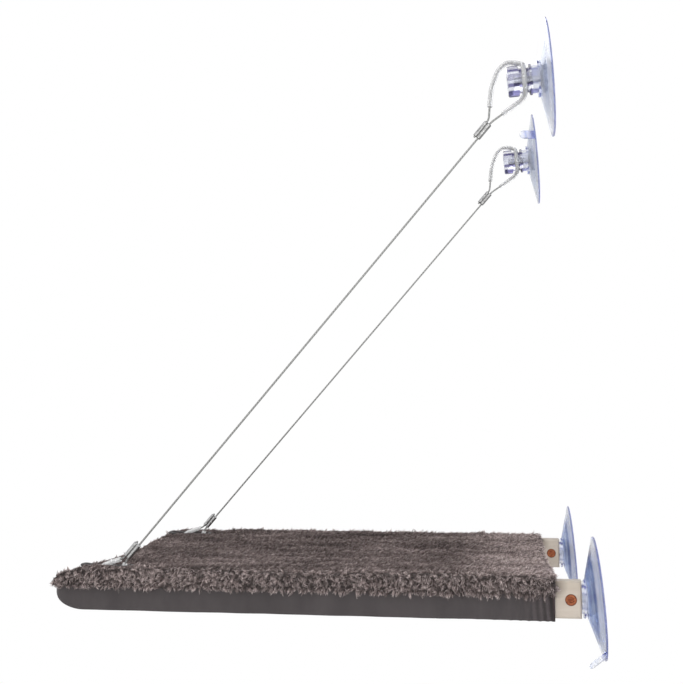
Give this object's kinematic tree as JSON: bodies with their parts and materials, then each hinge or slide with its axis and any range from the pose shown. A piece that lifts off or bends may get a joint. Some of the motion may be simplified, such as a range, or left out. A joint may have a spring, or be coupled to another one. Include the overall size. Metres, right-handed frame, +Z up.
{
  "type": "window mounted cat perch",
  "caption": "Window mounted cat perch: a plush covered bed on a wood and tube frame, held to the glass by suction cups and hung at its front from steel cables.",
  "frame": {"origin": "on the window's surface, midway between the centres of the two lower suction cups", "axes": "+Y square into the window glass, whose surface is the plane Y = 0, +Z up along the glass, +X along the window, with the bed on the -Y side"},
  "size_m": [0.46, 0.5404, 0.62],
  "materials": {
    "cover_cloth": "dark woven cloth",
    "plush": "short taupe plush pile",
    "tube_steel": "powder coated",
    "zinc_steel": "bright zinc",
    "painted_wood": "pale wood, satin",
    "copper_nut": "coppery plated steel",
    "clear_vinyl": "clear soft vinyl with a faint blue tint",
    "wire_rope": "stranded steel rope",
    "clear_sleeve": "clear vinyl tubing",
    "crimp_metal": "crimped grey metal",
    "clear_acrylic": "clear hard plastic"
  },
  "bodies": {
    "perch": {"base_cover": "cover_cloth", "plush_cover": "plush", "front_tube": "tube_steel", "rear_tube": "tube_steel", "tube_plugs": "zinc_steel", "frame_bolts": "zinc_steel", "side_rail_left": "painted_wood", "barrel_nut_left": "copper_nut", "lower_stud_left": "zinc_steel", "lower_cup_left": "clear_vinyl", "side_rail_right": "painted_wood", "barrel_nut_right": "copper_nut", "lower_stud_right": "zinc_steel", "lower_cup_right": "clear_vinyl"},
    "hanger_left": {"cable_left": "wire_rope", "lower_sleeve_left": "clear_sleeve", "upper_sleeve_left": "clear_sleeve", "lower_ferrule_left": "crimp_metal", "upper_ferrule_left": "crimp_metal"},
    "top_cup_left": {"upper_cup_left": "clear_vinyl", "upper_stud_left": "zinc_steel", "cable_knob_left": "clear_acrylic"},
    "hanger_right": {"cable_right": "wire_rope", "lower_sleeve_right": "clear_sleeve", "upper_sleeve_right": "clear_sleeve", "lower_ferrule_right": "crimp_metal", "upper_ferrule_right": "crimp_metal"},
    "top_cup_right": {"upper_cup_right": "clear_vinyl", "upper_stud_right": "zinc_steel", "cable_knob_right": "clear_acrylic"}
  },
  "joints": [
    {"name": "hanger_left_swing", "type": "hinge", "parent": "perch", "child": "hanger_left", "pos_m": [0, -0.49452, 0.03778], "axis": [1, 0, 0], "range_deg": [0, 60]},
    {"name": "top_cup_left_turn", "type": "hinge", "parent": "hanger_left", "child": "top_cup_left", "pos_m": [-0.1725, 0, 0.505], "axis": [0, 1, 0], "continuous": true},
    {"name": "hanger_right_swing", "type": "hinge", "parent": "perch", "child": "hanger_right", "pos_m": [0, -0.49452, 0.03778], "axis": [1, 0, 0], "range_deg": [0, 60]},
    {"name": "top_cup_right_turn", "type": "hinge", "parent": "hanger_right", "child": "top_cup_right", "pos_m": [0.1725, 0, 0.505], "axis": [0, 1, 0], "continuous": true}
  ]
}
